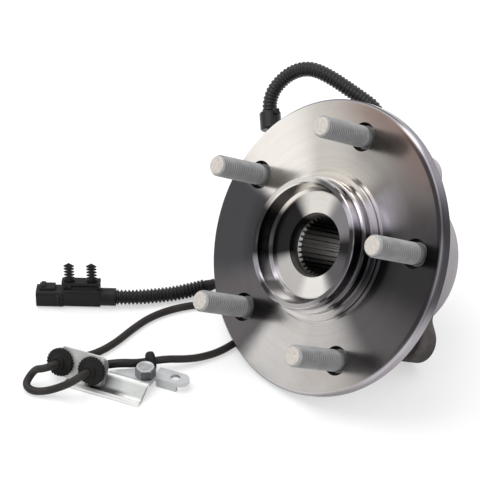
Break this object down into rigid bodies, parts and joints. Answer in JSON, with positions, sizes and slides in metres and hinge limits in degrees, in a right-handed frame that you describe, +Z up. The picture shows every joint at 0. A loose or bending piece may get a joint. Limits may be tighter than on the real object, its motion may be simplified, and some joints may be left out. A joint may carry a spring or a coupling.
{
  "type": "wheel hub bearing",
  "caption": "Flanged wheel hub on a double-row ball bearing carrier with splined bore, wheel studs, speed sensor and its lead with bracket and plug.",
  "frame": {"origin": "middle of the standing unit on the floor, measured without the lead and what is on it", "axes": "+Z up from the floor, -Y towards the wheel side, +X to the right seen from the wheel side; the hub axis lies in the YZ plane and rises 30.70 degrees towards the wheel side"},
  "size_m": [0.2249, 0.2394, 0.1501],
  "materials": {
    "turned_steel": "machined",
    "stud_steel": "matte zinc",
    "bearing_steel": "ground",
    "cage_plastic": "moulded",
    "cast_iron": "cast",
    "seal_rubber": "moulded",
    "sensor_plastic": "moulded",
    "zinc_steel": "bright zinc",
    "grommet_rubber": "moulded",
    "conduit_plastic": "corrugated",
    "cable_jacket": "extruded",
    "blade_metal": "tinned",
    "clip_plastic": "moulded"
  },
  "bodies": {
    "carrier_body": {"carrier": "cast_iron", "outboard_seal": "seal_rubber", "inboard_seal": "seal_rubber", "speed_sensor": "sensor_plastic", "sensor_screw": "zinc_steel", "sensor_conduit": "conduit_plastic", "conduit_collar": "conduit_plastic", "rear_cable": "cable_jacket", "collar_grommet": "grommet_rubber", "cable_sleeve": "cable_jacket", "bracket": "zinc_steel", "bracket_grommet_left": "grommet_rubber", "bracket_grommet_right": "grommet_rubber", "bracket_bolt": "zinc_steel", "loop_cable": "cable_jacket", "lead_cable": "cable_jacket", "tape_wrap": "cable_jacket", "connector_conduit": "conduit_plastic", "connector_housing": "sensor_plastic", "connector_blades": "blade_metal", "connector_lock": "sensor_plastic", "clip_rail": "sensor_plastic", "fir_tree_clips": "clip_plastic"},
    "hub": {"hub_flange": "turned_steel", "wheel_studs": "stud_steel", "inner_ring": "bearing_steel", "encoder_ring": "seal_rubber"},
    "outboard_row": {"outboard_balls": "bearing_steel", "outboard_cage": "cage_plastic"},
    "inboard_row": {"inboard_balls": "bearing_steel", "inboard_cage": "cage_plastic"}
  },
  "joints": [
    {"name": "hub_spin", "type": "hinge", "parent": "carrier_body", "child": "hub", "pos_m": [0, -0.01425, 0.07311], "axis": [0, -0.8599, 0.5105], "continuous": true},
    {"name": "outboard_row_orbit", "type": "hinge", "parent": "carrier_body", "child": "outboard_row", "pos_m": [0, 0.01155, 0.05779], "axis": [0, -0.8599, 0.5105], "continuous": true},
    {"name": "inboard_row_orbit", "type": "hinge", "parent": "carrier_body", "child": "inboard_row", "pos_m": [0, 0.02874, 0.04758], "axis": [0, -0.8599, 0.5105], "continuous": true}
  ],
  "couplings": [
    {"joint": "outboard_row_orbit", "follows": "hub_spin", "ratio": 0.4189},
    {"joint": "inboard_row_orbit", "follows": "hub_spin", "ratio": 0.4189}
  ]
}
